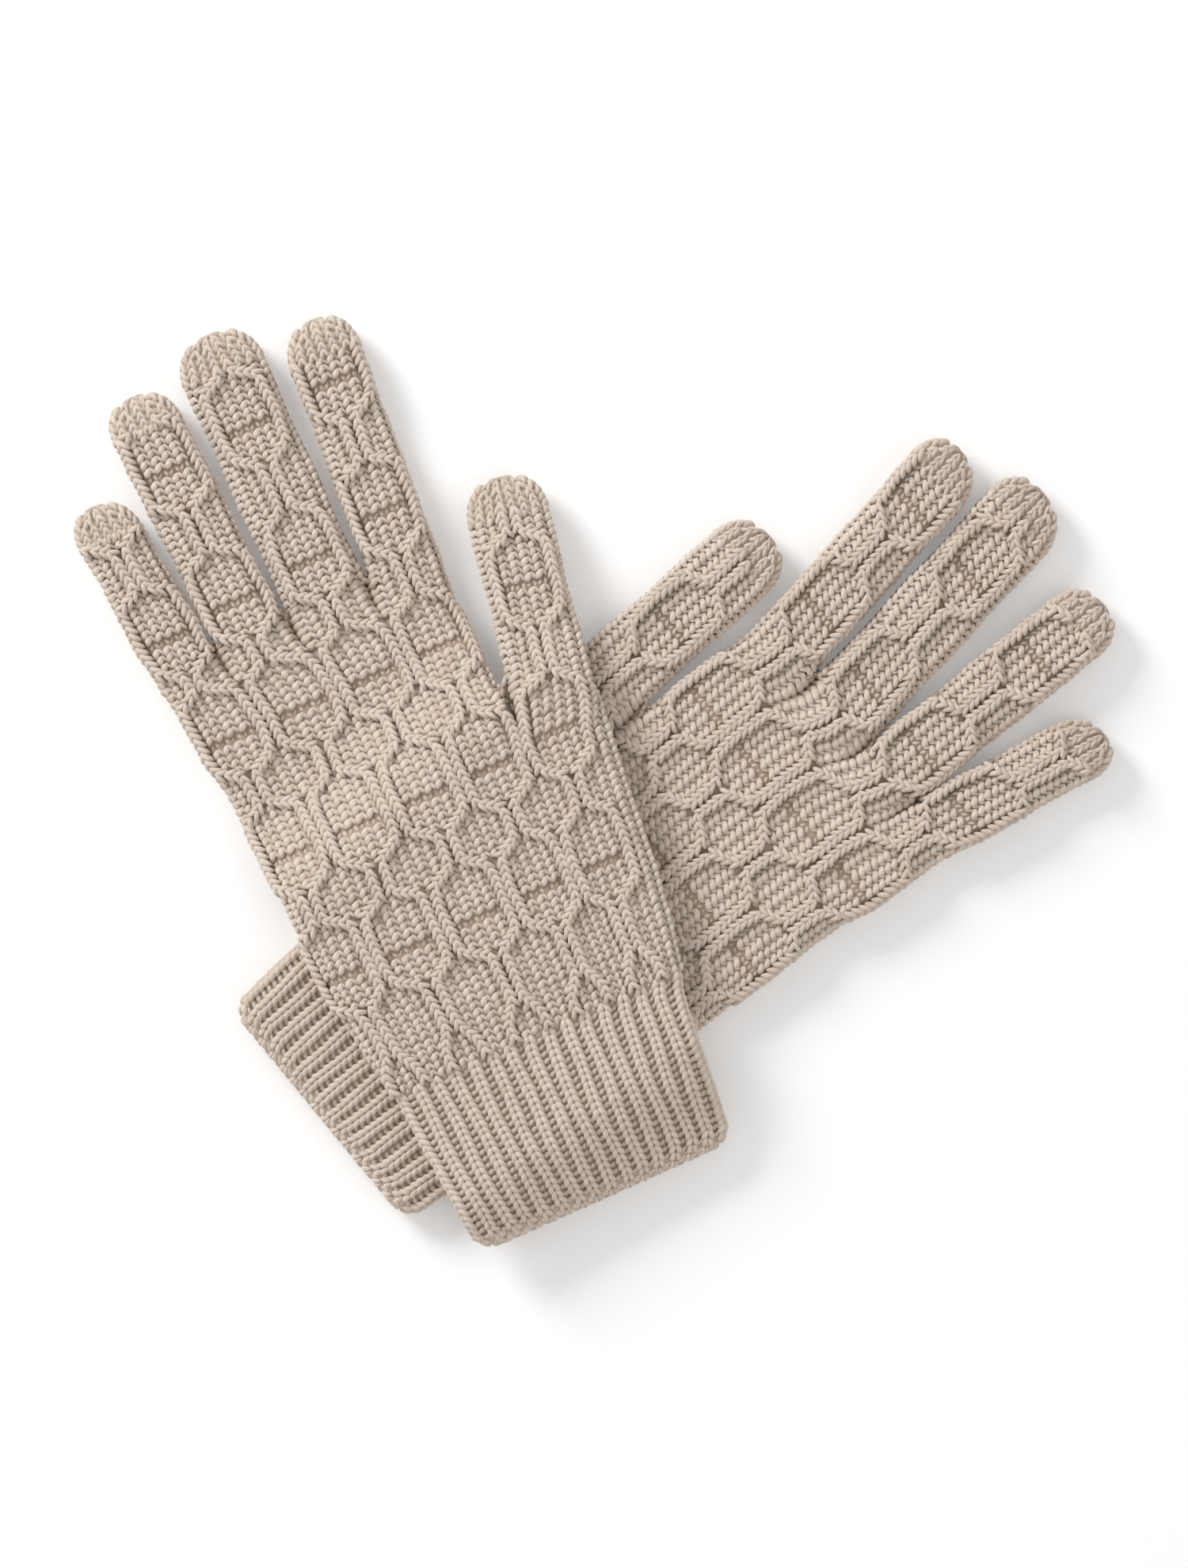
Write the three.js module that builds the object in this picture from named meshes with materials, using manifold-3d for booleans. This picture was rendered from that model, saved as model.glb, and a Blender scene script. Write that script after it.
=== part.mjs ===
// A pair of knitted gloves with full fingers, lying flat with one across the other.
// Each glove is drawn in its own frame: Y from the hem to the fingertips, X towards the thumb, Z up.
import * as THREE from 'three';
import { mergeVertices } from 'three/addons/utils/BufferGeometryUtils.js';
import Module from 'manifold-3d';

const wasm = await Module();
wasm.setup();

// Fabric, mm
const fabric = 2; // one layer of the knit
const thickness = 9.6; // a glove lying flat: two layers and the space between
const radius = thickness / 2; // a finger's root turns on this radius

// Clearances
const seamGap = 0.3; // cuff to hand
const hingeGap = 0.4; // a finger's root to what it turns against
const webGap = 1.4; // finger to finger at the knuckles
const layGap = 0.5; // between the gloves where one lies on the other

// Cuff
const cuffLength = 46.5;
const hemHalf = 36.2;
const cuffMouthHalf = 38.6;
const wristHalf = 42;
const wristShift = 0.6; // the wrist's middle, towards the thumb
const hemRound = 5; // length over which the hem draws in

// Hand
const palmHalf = 48.4;
const palmHeight = 98; // hem to the palm's widest place
const palmShift = 0.4;
const knuckleHeight = 184; // hem to the line on which all four fingers turn
const webDepth = 12; // the webs between the fingers, below that line
const knuckleShift = -13.8; // middle of the four fingers, towards the thumb

// Fingers from the little one to the index: width, knuckle line to middle joint, knuckle line to tip
const fingers = [
  { name: 'little', width: 18, middle: 19, length: 38.5 },
  { name: 'ring', width: 19.8, middle: 29, length: 61 },
  { name: 'middle', width: 23, middle: 32, length: 68 },
  { name: 'index', width: 19.8, middle: 28.5, length: 60.5 },
];
const tipRound = 11; // length of a fingertip's rounding
const thumb = { name: 'thumb', width: 22.2, middle: 20.5, length: 46 };
const thumbDrop = 41; // the thumb's root, below the knuckle line
const thumbForkDepth = 12; // the fork between thumb and index finger, below the thumb's root
const thumbStub = 36; // how far the thumb's root runs down into the hand
const stubOverlap = 16; // how far a finger's root runs down into the hand

// The two gloves: where the knuckle line's middle lies, turn, thumb side, and each finger's lean in degrees
const under = {
  name: 'under', knuckles: [70.5, 30.3], turn: -50.6, side: -1, thumbShift: 40.9,
  lean: { little: -12, ring: -1, middle: 8.9, index: 8.9, thumb: 3 },
};
const top = {
  name: 'top', knuckles: [-71, 59.6], turn: 23.8, side: 1, thumbShift: 43.6,
  lean: { little: -8.5, ring: -4.9, middle: -1.3, index: 2.9, thumb: 9.2 },
};
const drapeLength = 32; // how far past the lower glove's edge the upper one comes down

const webHeight = knuckleHeight - webDepth;
const thumbHeight = knuckleHeight - thumbDrop; // hem to the thumb's root
const thumbFork = thumbHeight - thumbForkDepth;

const handSides = 24;
const fingerSides = 14;
const cuffRows = 6;
const palmRows = 10;
const squareness = 2.5; // 2 is an oval section, more is squarer
const yarn = new THREE.MeshStandardMaterial({ color: 0xc0afa0, roughness: 0.95, metalness: 0 });

/** A closed sleeve through sections {y, x, half, low, high}, as a manifold. */
function sleeve(sections, sides, lift = () => 0) {
  const rows = sections.length - 1;
  const geometry = new THREE.CylinderGeometry(1, 1, 1, sides, rows, false, Math.PI / sides);
  const position = geometry.attributes.position;
  const bend = (value) => Math.sign(value) * Math.abs(value) ** (2 / squareness);
  const flat = bend(Math.cos(Math.PI / sides)); // makes the top and bottom facets lie on high and low
  for (let i = 0; i < position.count; i++) {
    const section = sections[Math.round((position.getY(i) + 0.5) * rows)];
    const middle = (section.low + section.high) / 2;
    const x = section.x + section.half * bend(position.getX(i));
    const z = middle + (section.high - middle) * bend(position.getZ(i)) / flat;
    position.setXYZ(i, x, section.y, z + lift(x, section.y));
  }
  return solid(geometry);
}

/** The manifold of a closed geometry. */
function solid(geometry) {
  geometry.deleteAttribute('normal');
  geometry.deleteAttribute('uv');
  const merged = mergeVertices(geometry, 1e-4);
  return new wasm.Manifold(new wasm.Mesh({
    numProp: 3,
    vertProperties: new Float32Array(merged.attributes.position.array),
    triVerts: new Uint32Array(merged.index.array),
  }));
}

/** A named mesh of a manifold. */
function piece(name, shape) {
  const mesh = shape.getMesh();
  const geometry = new THREE.BufferGeometry();
  geometry.setAttribute('position', new THREE.BufferAttribute(new Float32Array(mesh.vertProperties), 3));
  geometry.setIndex(new THREE.BufferAttribute(new Uint32Array(mesh.triVerts), 1));
  geometry.computeVertexNormals();
  const result = new THREE.Mesh(geometry, yarn.clone());
  result.name = name;
  return result;
}

/** Sections along a smooth outline given as [y, x, half width], inset by a wall. */
function outline(points, count, inset) {
  const curve = new THREE.CatmullRomCurve3(points.map(([y, x, half]) => new THREE.Vector3(y, x, half)));
  const places = Array.from({ length: count + 1 }, (_, i) => curve.getPoint(i / count));
  return places.map((p) => ({ y: p.x, x: p.y, half: p.z - inset, low: inset, high: thickness - inset }));
}

/** Moves a list of sections' ends out, so that a cut runs clear through them. */
function stretched(sections, before, after) {
  const first = { ...sections[0], y: sections[0].y - before };
  const last = { ...sections.at(-1), y: sections.at(-1).y + after };
  return [first, ...sections, last];
}

/** Sideways run of a finger for each unit of its length. */
function shearOf(glove, finger) {
  return glove.side * Math.tan(THREE.MathUtils.degToRad(glove.lean[finger.name]));
}

/** Outline of the cuff, hem to wrist. */
function cuffPoints(side) {
  return [
    [0, 0, hemHalf],
    [hemRound, 0, cuffMouthHalf],
    [cuffLength / 2, side * wristShift / 2, (cuffMouthHalf + wristHalf) / 2],
    [cuffLength, side * wristShift, wristHalf],
  ];
}

/** Middle of each finger across the knuckle line, and the line's two ends. */
function knuckleLine(side) {
  const span = fingers.reduce((sum, finger) => sum + finger.width, 0) + webGap * (fingers.length - 1);
  const centres = {};
  let edge = knuckleShift - span / 2;
  for (const finger of fingers) {
    centres[finger.name] = side * (edge + finger.width / 2);
    edge += finger.width + webGap;
  }
  return { centres, middle: side * knuckleShift, half: span / 2 };
}

/** Outline of the palm without the fingers, wrist to webs. */
function palmPoints(side) {
  const line = knuckleLine(side);
  const start = cuffLength + seamGap;
  const forkRight = knuckleShift + line.half - webGap;
  const forkLeft = -palmHalf + palmShift - 1;
  const fork = [(forkLeft + forkRight) / 2, (forkRight - forkLeft) / 2];
  const webs = line.half - webGap;
  return [
    [start, side * wristShift, wristHalf],
    [(start + palmHeight) / 2, side * (wristShift + palmShift) / 2, (wristHalf * 0.4 + palmHalf * 0.6)],
    [palmHeight, side * palmShift, palmHalf],
    [thumbFork + fabric, side * fork[0], fork[1]],
    [(thumbFork + webHeight) / 2, side * (fork[0] + knuckleShift) / 2, (fork[1] + webs) / 2],
    [webHeight, line.middle, webs],
  ];
}

/** Sections of a finger's stub on the hand, ending where its first segment turns. */
function stubSections(finger, centre, shear, inset, open) {
  const end = knuckleHeight - radius - hingeGap + open;
  const start = webHeight - stubOverlap;
  const half = finger.width / 2 - inset;
  const at = (y) => ({ y, x: centre + shear * (y - knuckleHeight), half, low: inset, high: thickness - inset });
  return [at(start), at((start + end) / 2), at(end)];
}

/** The thumb's stub in the thumb's own frame, ending where its first segment turns. */
function thumbStubSections(inset, open) {
  const end = -radius - hingeGap + open;
  const half = thumb.width / 2 - inset;
  const rows = 4;
  return Array.from({ length: rows + 1 }, (_, i) => ({
    y: THREE.MathUtils.lerp(-thumbStub, end, i / rows), x: 0, half, low: inset, high: thickness - inset,
  }));
}

/** Frame of the thumb's root on the hand: its turn about Z and its place. */
function thumbFrame(glove) {
  const turn = THREE.MathUtils.degToRad(-glove.side * glove.lean.thumb);
  const place = new THREE.Vector3(glove.side * glove.thumbShift, thumbHeight, 0);
  return new THREE.Matrix4().makeRotationZ(turn).setPosition(place);
}

/** How far the upper glove is lifted at a place, given in its own frame. */
function drape(x, y) {
  const place = new THREE.Vector3(x, y, 0).applyMatrix4(gloveFrame(top));
  place.applyMatrix4(gloveFrame(under).invert());
  const hand = new THREE.Vector3(thumb.width / 2 + under.thumbShift, thumbHeight, 0);
  const sweep = THREE.MathUtils.clamp(place.y / hand.y, 0, 1);
  const thumbEdge = THREE.MathUtils.lerp(cuffMouthHalf, hand.x, sweep);
  const littleEdge = THREE.MathUtils.lerp(cuffMouthHalf, palmHalf, sweep);
  const across = place.x * under.side;
  const past = Math.max(across - thumbEdge, -across - littleEdge);
  return (thickness + layGap) * (1 - THREE.MathUtils.smoothstep(past, layGap, drapeLength));
}

/** Place and turn of a glove on the surface. */
function gloveFrame(glove) {
  const turned = new THREE.Matrix4().makeRotationZ(THREE.MathUtils.degToRad(glove.turn));
  turned.setPosition(glove.knuckles[0], glove.knuckles[1], 0);
  return turned.multiply(new THREE.Matrix4().makeTranslation(0, -knuckleHeight, 0));
}

/** Ribbed cuff: an open sleeve. */
function cuff(glove, lift) {
  const points = cuffPoints(glove.side);
  const outside = sleeve(outline(points, cuffRows, 0), handSides, lift);
  const inside = sleeve(stretched(outline(points, cuffRows, fabric), 1, 1), handSides, lift);
  return piece(`${glove.name}_cuff`, outside.subtract(inside));
}

/** Hand: the palm with a short stub for each finger and the thumb, open at every end. */
function hand(glove, lift) {
  const { centres } = knuckleLine(glove.side);
  const palm = (inset) => {
    const sections = outline(palmPoints(glove.side), palmRows, inset);
    if (inset === 0) return sections;
    sections.at(-1).y -= inset;
    return stretched(sections, 1, 0);
  };
  const body = (inset, open) => {
    let shape = sleeve(palm(inset), handSides, lift);
    for (const finger of fingers) {
      const sections = stubSections(finger, centres[finger.name], shearOf(glove, finger), inset, open);
      shape = shape.add(sleeve(sections, fingerSides, lift));
    }
    const frame = thumbFrame(glove);
    const raised = (x, y) => {
      const place = new THREE.Vector3(x, y, 0).applyMatrix4(frame);
      return lift(place.x, place.y);
    };
    const root = sleeve(thumbStubSections(inset, open), fingerSides, raised);
    return shape.add(root.transform(frame.elements));
  };
  return piece(`${glove.name}_hand`, body(0, 0).subtract(body(fabric, 1)));
}

/** Sections of a finger segment from its turning root, at y 0, to a flat end. */
function segmentSections(width, shear, end, inset) {
  const half = width / 2 - inset;
  const high = radius - inset;
  const at = (y, tall) => ({ y, x: shear * y, half, low: -tall, high: tall });
  if (inset > 0) return [at(-radius - 1, high), at(0, high), at(end, high)];
  const root = [-75, -50, -25].map(THREE.MathUtils.degToRad);
  return [...root.map((a) => at(radius * Math.sin(a), radius * Math.cos(a))), at(0, high), at(end, high)];
}

/** Sections of a fingertip's rounding, from where the finger's straight part ends. */
function roundSections(width, shear, end, inset) {
  const reach = tipRound - inset;
  return [24, 48, 68, 84].map(THREE.MathUtils.degToRad).map((a) => {
    const y = end + reach * Math.sin(a);
    const tall = (radius - inset) * Math.cos(a) ** 0.7;
    return { y, x: shear * y, half: (width / 2 - inset) * Math.cos(a) ** 0.8, low: -tall, high: tall };
  });
}

/** Open tube from a finger's root to its middle joint. */
function baseSegment(name, finger, shear) {
  const end = finger.middle - radius - hingeGap;
  const outside = sleeve(segmentSections(finger.width, shear, end, 0), fingerSides);
  const inside = sleeve(segmentSections(finger.width, shear, end + 1, fabric), fingerSides);
  return piece(name, outside.subtract(inside));
}

/** Closed fingertip from the middle joint. */
function tipSegment(name, finger, shear) {
  const end = finger.length - finger.middle - tipRound;
  const shape = (inset) => sleeve(
    [...segmentSections(finger.width, shear, end, inset), ...roundSections(finger.width, shear, end, inset)],
    fingerSides,
  );
  return piece(name, shape(0).subtract(shape(fabric)));
}

/** A finger's two segments, each in a frame whose X axis is its hinge. */
function fingerPair(glove, finger, shear) {
  const base = baseSegment(`${glove.name}_${finger.name}_base`, finger, shear);
  const tip = tipSegment(`${glove.name}_${finger.name}_tip`, finger, shear);
  tip.position.set(shear * finger.middle, finger.middle, 0);
  const group = new THREE.Group();
  group.add(base, tip);
  return group;
}

/** One glove: cuff, hand and five fingers. */
function buildGlove(glove, lift) {
  const group = new THREE.Group();
  group.add(cuff(glove, lift), hand(glove, lift));
  const { centres } = knuckleLine(glove.side);
  for (const finger of fingers) {
    const pair = fingerPair(glove, finger, shearOf(glove, finger));
    const x = centres[finger.name];
    pair.position.set(x, knuckleHeight, radius + lift(x, knuckleHeight));
    group.add(pair);
  }
  const thumbPair = fingerPair(glove, thumb, 0);
  thumbPair.applyMatrix4(thumbFrame(glove));
  const rise = lift(thumbPair.position.x, thumbPair.position.y);
  thumbPair.position.z = radius + rise;
  thumbPair.rotateX(-Math.asin(rise / thumb.length)); // the thumb comes down to the surface at its tip
  group.add(thumbPair);
  group.applyMatrix4(gloveFrame(glove));
  return group;
}

const pair = new THREE.Group();
pair.add(buildGlove(under, () => 0), buildGlove(top, drape));

// The frame's origin is under the middle of the pair.
const middle = new THREE.Box3().setFromObject(pair).getCenter(new THREE.Vector3());
pair.position.set(-middle.x, -middle.y, 0);

export default pair;
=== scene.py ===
"""A pair of knitted gloves lying flat, one across the other, built stitch by stitch."""

import logging
import math
from dataclasses import dataclass, field
from enum import Enum
from typing import Callable

import bmesh
import bpy
import numpy as np
from mathutils import Matrix, Vector


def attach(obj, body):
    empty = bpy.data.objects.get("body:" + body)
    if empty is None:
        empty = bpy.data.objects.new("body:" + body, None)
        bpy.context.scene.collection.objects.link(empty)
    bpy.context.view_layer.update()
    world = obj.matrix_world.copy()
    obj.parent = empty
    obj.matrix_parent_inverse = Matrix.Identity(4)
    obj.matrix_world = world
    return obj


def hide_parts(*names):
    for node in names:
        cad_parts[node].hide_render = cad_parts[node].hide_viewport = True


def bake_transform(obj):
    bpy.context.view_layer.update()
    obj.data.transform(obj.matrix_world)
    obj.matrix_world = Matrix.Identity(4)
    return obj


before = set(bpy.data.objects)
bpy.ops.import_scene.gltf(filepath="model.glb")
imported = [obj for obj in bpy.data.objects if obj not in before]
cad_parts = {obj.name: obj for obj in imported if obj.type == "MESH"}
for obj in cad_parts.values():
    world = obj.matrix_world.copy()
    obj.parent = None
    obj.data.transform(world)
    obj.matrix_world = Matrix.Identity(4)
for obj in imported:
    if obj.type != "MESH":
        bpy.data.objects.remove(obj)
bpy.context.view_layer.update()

log = logging.getLogger("gloves")

Surface = Callable[[np.ndarray, np.ndarray], np.ndarray]  # points at two surface coordinates

MM = 0.001  # metres in a millimetre
THICKNESS = 9.6  # a glove lying flat
INSET = 1.45  # the ground of the knit, inside the glove's outer surface
EDGE = 0.8  # the same, at the glove's side edges
PRESS_FROM = 0.85  # height over the ground past which the underside's yarn is flattened
PRESS = 0.2  # share of that height which is left
CREASE = 2.8  # depth of the folds below the webs and the fork
LAY_GAP = 0.5  # between the gloves where one lies on the other
DRAPE = 32.0  # how far past the lower glove's edge the upper one comes down
PAIR_SHIFT = (0.1141, -1.0550)  # puts the frame's origin under the pair's middle
KNUCKLES = 184.0  # hem to the line on which the four fingers turn
WEBS = 172.0  # hem to the webs between the fingers
THUMB_ROOT = 143.0  # hem to the thumb's root
FORK = 131.0  # hem to the fork between thumb and index finger
CUFF = 46.5  # hem to wrist
FIRST_ROW = 47.6  # hem to the first row of the hand
ROW = 2.05  # row height in the hand
STITCH = 3.41  # column width in the hand
STRIP = 6  # columns in one strip of the cell pattern


class Face(Enum):
    """The two layers of a glove lying flat."""

    FRONT = 1
    BACK = -1


@dataclass(frozen=True)
class FingerSize:
    """A finger's sizes, in mm along the glove from the knuckle line or the thumb's root."""

    name: str
    strip: int
    width: float
    middle: float
    length: float
    half_columns: float
    tip_round: float = 11.0


FINGERS = (
    FingerSize("little", 0, 18.0, 19.0, 38.5, 3.5),
    FingerSize("ring", 1, 19.8, 29.0, 61.0, 3.5),
    FingerSize("middle", 2, 23.0, 32.0, 68.0, 4.0),
    FingerSize("index", 3, 19.8, 28.5, 60.5, 3.5),
    FingerSize("thumb", 4, 22.2, 20.5, 46.0, 4.0),
)
CENTRES = (-47.2, -26.9, -4.1, 18.7)  # the four fingers across the knuckle line, thumb side positive


@dataclass(frozen=True)
class GloveSize:
    """Where one glove lies, and what is its own about its shape."""

    name: str
    side: int
    knuckles: tuple[float, float]
    turn: float
    thumb_shift: float
    lean: tuple[float, float, float, float, float]
    trim: tuple[float, float, float, float, float]
    dashes: dict[str, tuple[float, ...]]
    seed: int
    hem: float = 0.0


UNDER = GloveSize(
    "under", -1, (70.5, 30.3), -50.6, 40.9, (-10.7, -0.9, 7.8, 8.7, 2.2), (-0.8, 0, 0.6, 2.9, 1.0),
    {"palm": (76.0, 110.8, 146.6), "little": (182.0, 222.0), "ring": (182.5, 221.4),
     "middle": (183.4, 222.8), "index": (185.1, 223.0), "thumb": (113.0, 152.2)},
    11, 1.3,
)
TOP = GloveSize(
    "top", 1, (-71.0, 59.6), 23.8, 43.6, (-6.0, -3.1, -0.7, 3.2, 9.4), (0.8, 0.8, 0.8, 0.8, 3.0),
    {"palm": (81.2, 115.9, 150.7), "little": (181.3, 219.0), "ring": (183.4, 222.0),
     "middle": (185.5, 224.7), "index": (188.7, 226.6), "thumb": (81.2, 117.0, 155.6)},
    23,
)


def smooth(edge0: float, edge1: float, value: np.ndarray) -> np.ndarray:
    """Smooth step from 0 at edge0 to 1 at edge1."""
    t = np.clip((value - edge0) / (edge1 - edge0), 0.0, 1.0)
    return t * t * (3.0 - 2.0 * t)


def lerp(a: np.ndarray, b: np.ndarray, t: np.ndarray) -> np.ndarray:
    """Straight mix of a and b."""
    return a + (b - a) * t


def glove_matrix(glove: GloveSize) -> Matrix:
    """Place of a glove's own frame, in mm."""
    x, y = glove.knuckles
    place = Matrix.Translation((x + PAIR_SHIFT[0], y + PAIR_SHIFT[1], 0.0))
    turn = Matrix.Rotation(math.radians(glove.turn), 4, "Z")
    return place @ turn @ Matrix.Translation((0.0, -KNUCKLES, 0.0))


def drape_lift(s: np.ndarray, y: np.ndarray) -> np.ndarray:
    """How far the upper glove is lifted at a place of its own frame.

    Args:
        s: Across the glove, thumb side positive, mm.
        y: Along the glove from the hem, mm.

    Returns:
        The lift in mm.
    """
    to_under = glove_matrix(UNDER).inverted() @ glove_matrix(TOP)
    x = s * TOP.side
    across = (to_under[0][0] * x + to_under[0][1] * y + to_under[0][3]) * UNDER.side
    along = to_under[1][0] * x + to_under[1][1] * y + to_under[1][3]
    sweep = np.clip(along / THUMB_ROOT, 0.0, 1.0)
    past = np.maximum(across - lerp(38.6, 52.0, sweep), -across - lerp(38.6, 48.4, sweep))
    return (THICKNESS + LAY_GAP) * (1.0 - smooth(LAY_GAP, DRAPE, past))


@dataclass
class GloveShape:
    """The ground surface of one glove: every strip of the hand runs on into its finger."""

    size: GloveSize
    left: list[tuple[float, float]] = field(default_factory=lambda: [
        (0, -33.4), (1.5, -36.0), (4, -37.7), (21, -39.4), (42, -40.9), (47.4, -41.6), (60, -43.8), (74, -45.9),
        (90, -46.9), (105, -47.4), (126, -48.8), (137, -49.4), (148, -51.6), (168, -53.2), (179, -55.6)])
    right: list[tuple[float, float]] = field(default_factory=lambda: [
        (0, 33.4), (1.5, 36.0), (4, 37.6), (21, 39.0), (42, 41.3), (47.4, 43.2), (60, 45.8), (74, 47.8), (90, 49.2),
        (105, 50.6), (116, 51.8), (126.5, 53.8), (137, 56.3), (150, 58.8)])
    inner: list[tuple[float, float]] = field(default_factory=lambda: [
        (112, 27.4), (129.6, 27.6), (137, 27.9), (148, 27.9), (160, 27.1), (168.6, 27.2), (180, 28.4)])
    centres: list[tuple[float, tuple[float, ...]]] = field(default_factory=lambda: [
        (47.0, (-36.4, -18.8, -0.6, 17.4, 33.2)),
        (62.0, (-37.4, -19.6, -0.3, 17.7, 33.0)),
        (81.0, (-41.0, -21.5, -1.0, 17.7, 34.6)),
        (116.0, (-40.4, -20.6, -0.6, 17.9, 37.2)),
        (150.7, (-42.9, -21.3, -1.0, 18.4, 45.0)),
        (172.0, (-45.6, -25.4, -3.2, 18.5, 48.0))])

    def outline(self, points: list[tuple[float, float]], y: np.ndarray) -> np.ndarray:
        """Sideways place of an outline at y."""
        table = np.array(points, float)
        return np.interp(y, table[:, 0], table[:, 1])

    def centre_line(self, strip: int, y: np.ndarray) -> np.ndarray:
        """Sideways place of a strip's middle in the hand.

        Args:
            strip: The strip, 0 at the little finger to 4 at the thumb.
            y: Along the glove from the hem, mm.

        Returns:
            Millimetres from the glove's middle, thumb side positive.
        """
        ys = np.array([row[0] for row in self.centres])
        xs = np.array([row[1][strip] for row in self.centres])
        t = np.clip(np.interp(y, ys, np.arange(len(ys))), 0, len(ys) - 1.001)
        i = t.astype(int)
        f = t - i
        ease = f * f * (3 - 2 * f)
        return lerp(xs[i], xs[np.minimum(i + 1, len(xs) - 1)], 0.5 * f + 0.5 * ease)

    def finger_profile(self, finger: FingerSize,
                       v: np.ndarray) -> tuple[np.ndarray, np.ndarray, np.ndarray]:
        """Length, half width and half thickness of a finger's ground at v along its surface.

        Args:
            finger: The finger.
            v: Millimetres along the surface, equal to y until the tip's rounding.

        Returns:
            Place along the finger's axis, half width, half thickness.
        """
        root = THUMB_ROOT if finger.name == "thumb" else KNUCKLES
        reach = finger.tip_round - INSET * 0.6
        start = root + finger.length - self.size.trim[finger.strip] - finger.tip_round
        angle = np.linspace(0.0, math.pi / 2, 160)
        ys = start + reach * np.sin(angle)
        tall = (THICKNESS / 2 - INSET) * np.cos(angle) ** 0.62
        arc = np.concatenate([[0.0], np.cumsum(np.hypot(np.diff(ys), np.diff(tall)))]) + start
        past = np.interp(v, arc, angle, left=0.0, right=math.pi / 2)
        y = np.where(v <= start, v, start + reach * np.sin(past))
        body = 1.0 + 0.02 * np.sin(y * 0.21 + finger.strip)
        drawn = np.cos(past) ** 0.62
        half = (finger.width / 2 - EDGE) * body * drawn
        return y, np.maximum(half, 0.05), np.maximum((THICKNESS / 2 - INSET) * drawn, 0.04)

    def surface_end(self, finger: FingerSize) -> float:
        """Where a finger's surface ends, measured along it.

        Args:
            finger: The finger.

        Returns:
            Millimetres along the surface from the hem.
        """
        root = THUMB_ROOT if finger.name == "thumb" else KNUCKLES
        start = root + finger.length - self.size.trim[finger.strip] - finger.tip_round
        angle = np.linspace(0.0, math.pi / 2, 160)
        ys = (finger.tip_round - INSET * 0.6) * np.sin(angle)
        tall = (THICKNESS / 2 - INSET) * np.cos(angle) ** 0.62
        return float(start + np.hypot(np.diff(ys), np.diff(tall)).sum())

    def tube(self, finger: FingerSize, c: np.ndarray, v: np.ndarray) -> np.ndarray:
        """Points of a finger's tube.

        Args:
            finger: The finger.
            c: Columns from the middle of the front face, round the tube.
            v: Millimetres along the surface.

        Returns:
            Points in the glove's frame, thumb side positive, with Z from the tube's middle.
        """
        y, half, tall = self.finger_profile(finger, v)
        flat = np.maximum(half - tall, 0.0)
        arc = c / finger.half_columns * (flat + tall * math.pi / 2)
        size = np.abs(arc)
        turn = np.clip((size - flat) / tall, 0.0, math.pi)
        x = np.where(size < flat, size, flat + tall * np.sin(turn))
        beyond = size - flat - tall * math.pi
        x = np.where(beyond > 0, flat - beyond, x) * np.sign(arc)
        z = tall * np.cos(turn)
        if finger.name == "thumb":
            lean = math.tan(math.radians(self.size.lean[4]))
            turn_z = math.atan(lean)
            t = y - THUMB_ROOT
            return np.stack([
                self.size.thumb_shift + x * math.cos(turn_z) + t * math.sin(turn_z),
                THUMB_ROOT - x * math.sin(turn_z) + t * math.cos(turn_z), z], axis=-1)
        lean = math.tan(math.radians(self.size.lean[finger.strip]))
        return np.stack([CENTRES[finger.strip] + lean * (y - KNUCKLES) + x, y, z], axis=-1)

    def palm(self, strip: int, c: np.ndarray, y: np.ndarray, above_fork: bool) -> np.ndarray:
        """Points of the hand's front layer at columns c from a strip's middle.

        Args:
            strip: The strip, 0 at the little finger to 4 at the thumb.
            c: Columns from the strip's middle.
            y: Along the glove from the hem, mm.
            above_fork: Whether the layer ends at the fork's edge and not the thumb's.

        Returns:
            Points in the glove's frame, with Z from the glove's middle.
        """
        tall = THICKNESS / 2 - INSET
        quarter = tall * math.pi / 2
        left = self.outline(self.left, y) + EDGE
        right = self.outline(self.inner if above_fork else self.right, y) - EDGE
        last = 3 if above_fork else 4
        arcs = [self.centre_line(k, y) - left - tall + quarter for k in range(last + 1)]
        total = right - left - 2 * tall + 2 * quarter
        left_columns = self.left_edge(y)
        right_columns = 3.5 if above_fork else self.right_edge(y)
        low = np.where(c < 0, (arcs[strip - 1] if strip > 0 else 0.0), arcs[strip])
        span_left = STRIP if strip > 0 else left_columns
        high = arcs[strip + 1] if strip < last else total
        span_right = STRIP if strip < last else right_columns
        arc = np.where(
            c < 0,
            arcs[strip] + c / span_left * (arcs[strip] - low),
            arcs[strip] + c / span_right * (high - arcs[strip]),
        )
        turn_l = np.clip((quarter - arc) / tall, -math.pi, math.pi)
        turn_r = np.clip((arc - (total - quarter)) / tall, -math.pi, math.pi)
        x = left + tall + arc - quarter
        z = np.full_like(x, tall)
        x = np.where(turn_l > 0, left + tall - tall * np.sin(turn_l), x)
        z = np.where(turn_l > 0, tall * np.cos(turn_l), z)
        x = np.where(turn_r > 0, right - tall + tall * np.sin(turn_r), x)
        z = np.where(turn_r > 0, tall * np.cos(turn_r), z)
        return np.stack([x, y + 0.0 * x, z], axis=-1)

    def left_edge(self, y: np.ndarray) -> np.ndarray:
        """Columns from the little strip's middle to the glove's edge."""
        return 3.0 + 0.5 * smooth(90.0, 120.0, y)

    def right_edge(self, y: np.ndarray) -> np.ndarray:
        """Columns from the thumb strip's middle to the glove's edge."""
        return 5.0 - smooth(FORK - 16.0, FORK - 1.0, y)

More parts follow.
